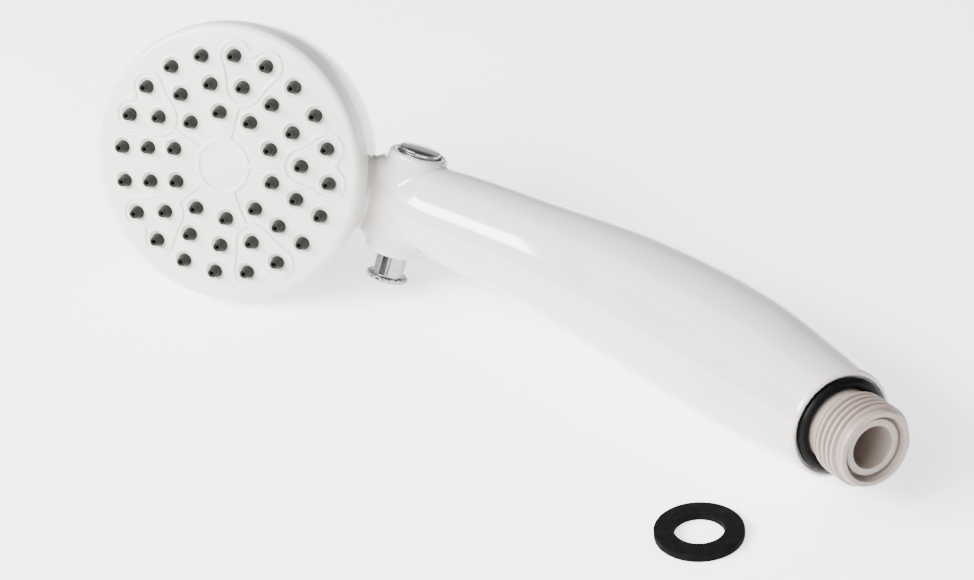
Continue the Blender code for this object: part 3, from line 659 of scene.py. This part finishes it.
def surface_net(field, low, high, step):
    """Points and quads where the field is zero, moved onto the surface itself."""
    counts = [int((b - a) / step) + 2 for a, b in zip(low, high)]
    values = sampled(field, [a + step * np.arange(n) for a, n in zip(low, counts)])
    inside = values < 0
    corner = [inside[i:counts[0] - 1 + i, j:counts[1] - 1 + j, k:counts[2] - 1 + k]
              for i in (0, 1) for j in (0, 1) for k in (0, 1)]
    cells = np.argwhere(np.logical_or.reduce(corner) & ~np.logical_and.reduce(corner))
    number = np.full([n - 1 for n in counts], -1, dtype=np.int64)
    number[tuple(cells.T)] = np.arange(len(cells))

    # One point per cell, at the mean of the places where its edges cross the surface
    total = np.zeros((len(cells), 3))
    crossings = np.zeros(len(cells))
    for axis in range(3):
        others = [other for other in range(3) if other != axis]
        for i in (0, 1):
            for j in (0, 1):
                first = cells.copy()
                first[:, others[0]] += i
                first[:, others[1]] += j
                second = first.copy()
                second[:, axis] += 1
                a = values[tuple(first.T)]
                b = values[tuple(second.T)]
                hit = (a < 0) != (b < 0)
                t = np.where(hit, a / np.where(hit, a - b, 1), 0)
                place = first.astype(float)
                place[:, axis] += t
                total[hit] += place[hit]
                crossings[hit] += 1
    points = total / crossings[:, None] * step + np.array(low)

    # Newton steps along the field's slope
    least_slope = 0.2
    for _ in range(PROJECTIONS):
        value = field(*points.T)
        gradient = np.stack([(field(*(points + h).T) - field(*(points - h).T)) / (2 * PROBE)
                             for h in np.eye(3) * PROBE], axis=1)
        size = np.maximum((gradient ** 2).sum(axis=1), least_slope)
        points = points - np.clip(value / size, -0.5 * step, 0.5 * step)[:, None] * gradient

    # One quad across each grid edge that crosses the surface
    faces = []
    for axis in range(3):
        others = [(axis + 1) % 3, (axis + 2) % 3]
        first = [slice(1, n - 1) for n in counts]
        second = [slice(1, n - 1) for n in counts]
        first[axis] = slice(0, counts[axis] - 1)
        second[axis] = slice(1, counts[axis])
        at = np.argwhere(inside[tuple(first)] != inside[tuple(second)])
        for other in others:
            at[:, other] += 1
        outward = inside[tuple(at.T)]
        quad = []
        for i, j in ((-1, -1), (0, -1), (0, 0), (-1, 0)):
            cell = at.copy()
            cell[:, others[0]] += i
            cell[:, others[1]] += j
            quad.append(number[tuple(cell.T)])
        quad = np.stack(quad, axis=1)
        quad[~outward] = quad[~outward][:, ::-1]
        faces.append(quad)
    return points, np.concatenate(faces).tolist()


def make_body():
    """Head's back, neck, bosses and handle in one moulding."""
    add_piece("body_form", surface_net(body_field, BODY_LOW, BODY_HIGH, BODY_STEP), BODY_WHITE,
              stands_for=["body_shell"])


# ---------------------------------------------------------------- spray face

def dome(radius):
    """Height of the face at a distance from its middle."""
    return CROWN_Z - radius * radius / (2 * DOME_RADIUS)


def nozzle_places():
    """Each nozzle's distance from the middle, x and y."""
    for count, radius, first in NOZZLE_RINGS:
        for turn in full_turn(count):
            angle = PATTERN_TURN + math.radians(first) + turn
            yield radius, radius * math.cos(angle), radius * math.sin(angle)


def capsule(x, y, start, end):
    """Distance to a line between two points."""
    along = np.array(end) - np.array(start)
    t = np.clip(((x - start[0]) * along[0] + (y - start[1]) * along[1]) / (along ** 2).sum(), 0, 1)
    return np.hypot(x - start[0] - t * along[0], y - start[1] - t * along[1])


def line_distance(x, y):
    """Distance to the nearest raised line: a centre ring, five spokes and five lobed outlines."""
    rho = np.hypot(x, y)
    part = math.tau / LOBE_COUNT
    angle = np.arctan2(y, x) - PATTERN_TURN
    angle = (angle + part / 2) % part - part / 2
    u = rho * np.cos(angle)
    v = np.abs(rho * np.sin(angle))
    tip = (LOBE_TIP * math.cos(LOBE_HALF_ANGLE), LOBE_TIP * math.sin(LOBE_HALF_ANGLE))
    near = capsule(u, v, (LOBE_FOOT, 0.0), tip)
    far = capsule(u, v, (LOBE_FOOT, 0.0), (tip[0], -tip[1]))
    lobes = np.abs(soft_least(near, far, LOBE_BLEND) - LOBE_RADIUS)
    ring = np.abs(rho - CENTRE_RING)
    spoke = np.where((u > CENTRE_RING) & (u < SPOKE_END), v, FAR_AWAY)
    return soft_least(soft_least(lobes, ring, LINE_BLEND), spoke, LINE_BLEND)


def relief(x, y):
    """Height of the moulded lines and the nozzle dishes."""
    line = line_distance(x, y)
    side = np.clip((line - LINE_TOP_HALF) / LINE_SIDE, 0, 1)
    depth, middle, width = SIDE_GROOVE
    height = LINE_HEIGHT * (1 - side * side * (3 - 2 * side)) - depth * np.exp(-((line - middle) / width) ** 2)
    dish = np.zeros_like(x)
    lip_height, lip_radius, lip_width = DISH_LIP
    for _, cx, cy in nozzle_places():
        away = np.hypot(x - cx, y - cy)
        close = away < DISH_REACH
        lip = lip_height * np.exp(-((away[close] - lip_radius) / lip_width) ** 2)
        bowl = -DISH_DEPTH * (1 - np.clip((away[close] - DISH_FLOOR) / DISH_SIDE, 0, 1))
        dish[close] += lip + bowl
    return height + dish


def make_face():
    """Domed cap with raised lines, a rounded rim and the spigot that holds it."""
    inner = np.linspace(0, FACE_RADIUS, FACE_RINGS)
    edge = [(FACE_RADIUS + FACE_EDGE * math.cos(angle), dome(FACE_RADIUS) + FACE_EDGE * (math.sin(angle) - 1))
            for angle in radians(np.linspace(*FACE_EDGE_TURN, 16))]
    skirt = rounded([edge[-1], (SEAM_RADIUS, SEAM_Z), (SPIGOT_RADIUS, SEAM_Z), (SPIGOT_RADIUS, FACE_GROOVE_TOP),
                     (FACE_GROOVE_RADIUS, FACE_GROOVE_TOP), (FACE_GROOVE_RADIUS, FACE_GROOVE_BOTTOM),
                     (SPIGOT_RADIUS, FACE_GROOVE_BOTTOM), (SPIGOT_RADIUS, SPIGOT_END),
                     (SPIGOT_BORE, SPIGOT_END)] + FACE_INSIDE, FACE_CORNER, steps=6)
    points, faces = lathe([(radius, dome(radius)) for radius in inner] + edge + skirt[1:], FACE_SEGMENTS)
    top = len(inner) * FACE_SEGMENTS
    points[:top, 2] += relief(points[:top, 0], points[:top, 1])
    add_piece("face_disc", (points, faces), FACE_WHITE, stands_for=["spray_face"])


def make_nubs():
    """Rubber nozzles with their bores, on the sheet behind the face."""
    outline = NOZZLE_BORE_FLOOR + rounded(NOZZLE_OUTLINE, NOZZLE_CORNER)[2:]
    nubs = copies(lathe(outline, 28), [(x, y, dome(radius)) for radius, x, y in nozzle_places()])
    add_piece("nozzle_nubs", join_meshes(nubs + [lathe(NOZZLE_SHEET, 96)]), NOZZLE,
              stands_for=["nozzle_mat"])


# ---------------------------------------------------------------- valve

def make_valve():
    """Chrome button, chrome end knob with a beaded flange, and the spool between them."""
    add_piece("button_cap", lathe(rounded(BUTTON_OUTLINE, BUTTON_CORNER), 96), CHROME, VALVE,
              "valve_plunger", ["valve_button"])

    half_width, half_height = BEAD_SIZE
    bead = lathe([(half_width * math.sin(math.pi * i / 8), half_height * math.cos(math.pi * i / 8))
                  for i in range(9)], 14)
    beads = copies(bead, [(KNOB_RIM * math.cos(angle), KNOB_RIM * math.sin(angle), BEAD_Z)
                          for angle in full_turn(BEAD_COUNT)])
    add_piece("end_knob", join_meshes([lathe(rounded(KNOB_OUTLINE, KNOB_CORNER), 96)] + beads), CHROME,
              VALVE, "valve_plunger", ["valve_end_knob"])

    upper_shoulder, lower_shoulder = SPOOL_SHOULDERS
    spool = [(0, SPOOL_TIP), (SPOOL_CORE, SPOOL_TIP), (SPOOL_CORE, upper_shoulder), (SPOOL_RADIUS, upper_shoulder)]
    for upper, lower, floor in SPOOL_GROOVES:
        spool += [(SPOOL_RADIUS, upper), (floor, upper), (floor, lower), (SPOOL_RADIUS, lower)]
    spool += [(SPOOL_RADIUS, lower_shoulder), (SPOOL_CORE, lower_shoulder), (SPOOL_CORE, SPOOL_END),
              (0, SPOOL_END)]
    add_piece("spool_form", lathe(rounded(spool, SPOOL_CORNER, steps=2), 64), ACETAL, VALVE,
              "valve_plunger", ["valve_spool"])


# ---------------------------------------------------------------- inlet

def thread_height(turn, z):
    """Height of the screw thread above its root at an angle and a height, with a run-out at both ends."""
    phase = ((z - THREAD_PHASE) / THREAD_PITCH - turn) % 1.0
    ridge = np.clip(THREAD_FLAT - np.abs(phase - 0.5) * THREAD_FLANK, 0, 1)
    ridge = ridge * ridge * (3 - 2 * ridge)
    fade_in = np.clip((z - THREAD_START[0]) / THREAD_START[1], 0, 1)
    fade_out = np.clip((THREAD_STOP[0] - z) / THREAD_STOP[1], 0, 1)
    return THREAD_HEIGHT * ridge * (fade_in * fade_out)


def make_nipple():
    """Threaded nipple with its counterbore, inner tube and spigot."""
    segments = 200
    face = rounded(NIPPLE_FACE, NIPPLE_FACE_CORNER)
    start, length = NIPPLE_COLLAR_RUN
    wall = [(THREAD_ROOT + NIPPLE_COLLAR * min(1.0, max(0.0, (z - start) / length)), z)
            for z in np.linspace(*NIPPLE_BAND)[1:]]
    rest = rounded(NIPPLE_INSIDE, NIPPLE_INSIDE_CORNER, steps=3)
    points, faces = lathe(face + wall + rest, segments, closed=True)
    band = slice(len(face) * segments, (len(face) + len(wall)) * segments)
    turn = np.arctan2(points[band, 1], points[band, 0]) / math.tau
    radius = np.hypot(points[band, 0], points[band, 1])
    grown = radius + thread_height(turn, points[band, 2])
    points[band, 0] *= grown / radius
    points[band, 1] *= grown / radius
    add_piece("inlet_nipple", (points, faces), NATURAL, INLET,
              stands_for=["inlet_connector"])


def make_ring():
    """Black ring between the handle's end and the first thread."""
    middle = THREAD_ROOT + RING_EASE + RING_SECTION
    outline = [(middle + RING_SECTION * math.sin(angle), RING_Z + RING_SECTION * math.cos(angle))
               for angle in full_turn(28)]
    add_piece("black_ring", lathe(outline, 128, closed=True), SEAL, INLET,
              stands_for=["inlet_ring"])


def make_regulator():
    """Cup of the flow regulator, with a pointed hub and rows of pips."""
    pip = lathe(rounded(PIP_OUTLINE, PIP_CORNER, steps=2), 12)
    places = [((PIP_FIRST + PIP_STEP * j) * math.cos(angle), (PIP_FIRST + PIP_STEP * j) * math.sin(angle), 0)
              for angle in full_turn(PIP_ROWS) for j in range(PIPS_IN_ROW)]
    cup = lathe(rounded(CUP_OUTLINE, CUP_CORNER, steps=3), 72)
    add_piece("regulator_form", join_meshes([cup] + copies(pip, places)), REGULATOR, INLET,
              stands_for=["flow_regulator"])


def make_washer():
    """Loose flat washer, where the CAD's lies."""
    low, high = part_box("hose_washer")
    centre = (Vector(low) + Vector(high)) / 2
    outline = rounded(WASHER_OUTLINE, WASHER_CORNER, closed=True)
    place = Matrix.Translation((centre.x, centre.y, 0)) @ Matrix.Scale(MM, 4)
    add_piece("washer_form", lathe(outline, 160, closed=True), WASHER, place, "washer",
              ["hose_washer"])


# ---------------------------------------------------------------- inner CAD nodes keep their shape

CARRIED = {"jet_plate": INNER, "flow_baffle": INNER, "face_seal": SEAL, "spool_seal_1": SEAL,
           "spool_seal_2": SEAL, "spool_seal_3": SEAL, "connector_seal_1": SEAL, "connector_seal_2": SEAL,
           "regulator_seal": SEAL}


def dress_carried():
    """Give the CAD nodes that stay in view their own material."""
    for node, material in CARRIED.items():
        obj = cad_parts[node]
        if obj.material_slots:
            obj.material_slots[0].material = material
        else:
            obj.data.materials.append(material)


# ---------------------------------------------------------------- floor, world, lights and camera

FLOOR_REACH = 6.0
FLOOR_DARK = (0.90, 0.895, 0.90)
FLOOR_LIGHT = (0.93, 0.925, 0.93)
FLOOR_PATCH_SCALE = 0.004
FLOOR_GLOW = 1.6
SKY = ((0.10, 1.0), (0.22, 0.16), (0.80, 0.32))     # height above the horizon and brightness

# Place, target, size and power
LIGHTS = {
    "overhead_softbox": ((-0.55, 0.15, 1.1), (0, 0, 0), (1.3, 1.3), 16.0),
    "key_softbox": ((-0.9, -1.0, 0.95), (0, 0, 0.03), (0.8, 0.8), 34.0),
    "strip_softbox": ((-1.20, -0.34, 0.90), (0, 0, 0.03), (1.1, 0.48), 78.0),
    "front_fill": ((-0.2, -1.3, 0.5), (0, 0, 0.03), (0.8, 0.8), 9.0),
}


def make_floor():
    """Plain pale floor with a faint glow of its own."""
    mat, tree, shader, where = new_material("pale_floor")
    patches = noise(tree, where, FLOOR_PATCH_SCALE, 2.0)
    tree.links.new(ramp(tree, patches, FLOOR_DARK, FLOOR_LIGHT), shader.inputs["Base Color"])
    shader.inputs["Roughness"].default_value = 0.9
    shader.inputs["Specular IOR Level"].default_value = 0.1
    shader.inputs["Emission Color"].default_value = (1, 1, 1, 1)
    shader.inputs["Emission Strength"].default_value = FLOOR_GLOW
    mesh = bpy.data.meshes.new("floor")
    corners = [(x * FLOOR_REACH, y * FLOOR_REACH, 0) for x, y in ((-1, -1), (1, -1), (1, 1), (-1, 1))]
    mesh.from_pydata(corners, [], [(0, 1, 2, 3)])
    mesh.materials.append(mat)
    floor = bpy.data.objects.new("floor", mesh)
    bpy.context.scene.collection.objects.link(floor)


def make_world():
    """Soft sky with a bright horizon and a dimmer band above it."""
    world = bpy.data.worlds.new("studio")
    bpy.context.scene.world = world
    world.use_nodes = True
    tree = world.node_tree
    place = tree.nodes.new("ShaderNodeTexCoord")
    split = tree.nodes.new("ShaderNodeSeparateXYZ")
    tree.links.new(place.outputs["Generated"], split.inputs["Vector"])
    (low, horizon), (middle, band), (high, zenith) = SKY
    sky = ramp(tree, split.outputs["Z"], horizon, zenith, low, high)
    sky.node.color_ramp.elements.new(middle).color = (band, band, band, 1)
    tree.links.new(sky, tree.nodes["Background"].inputs["Color"])
    tree.nodes["Background"].inputs["Strength"].default_value = 1.0


def make_lights():
    """Large soft panels, each turned to its target."""
    for name, (place, target, size, power) in LIGHTS.items():
        data = bpy.data.lights.new(name, "AREA")
        data.shape = "RECTANGLE"
        data.size, data.size_y = size
        data.energy = power
        light = bpy.data.objects.new(name, data)
        light.location = place
        light.rotation_euler = (Vector(target) - Vector(place)).to_track_quat("-Z", "Y").to_euler()
        bpy.context.scene.collection.objects.link(light)


def make_camera():
    data = bpy.data.cameras.new("camera")
    data.lens = CAMERA_LENS
    data.sensor_width = 36.0
    data.clip_start = 0.01
    camera = bpy.data.objects.new("camera", data)
    camera.location = CAMERA_PLACE
    camera.rotation_euler = radians(CAMERA_TURN)
    bpy.context.scene.collection.objects.link(camera)
    bpy.context.scene.camera = camera


make_camera()
make_body()
make_face()
make_nubs()
make_valve()
make_nipple()
make_ring()
make_regulator()
make_washer()
dress_carried()
make_floor()
make_world()
make_lights()
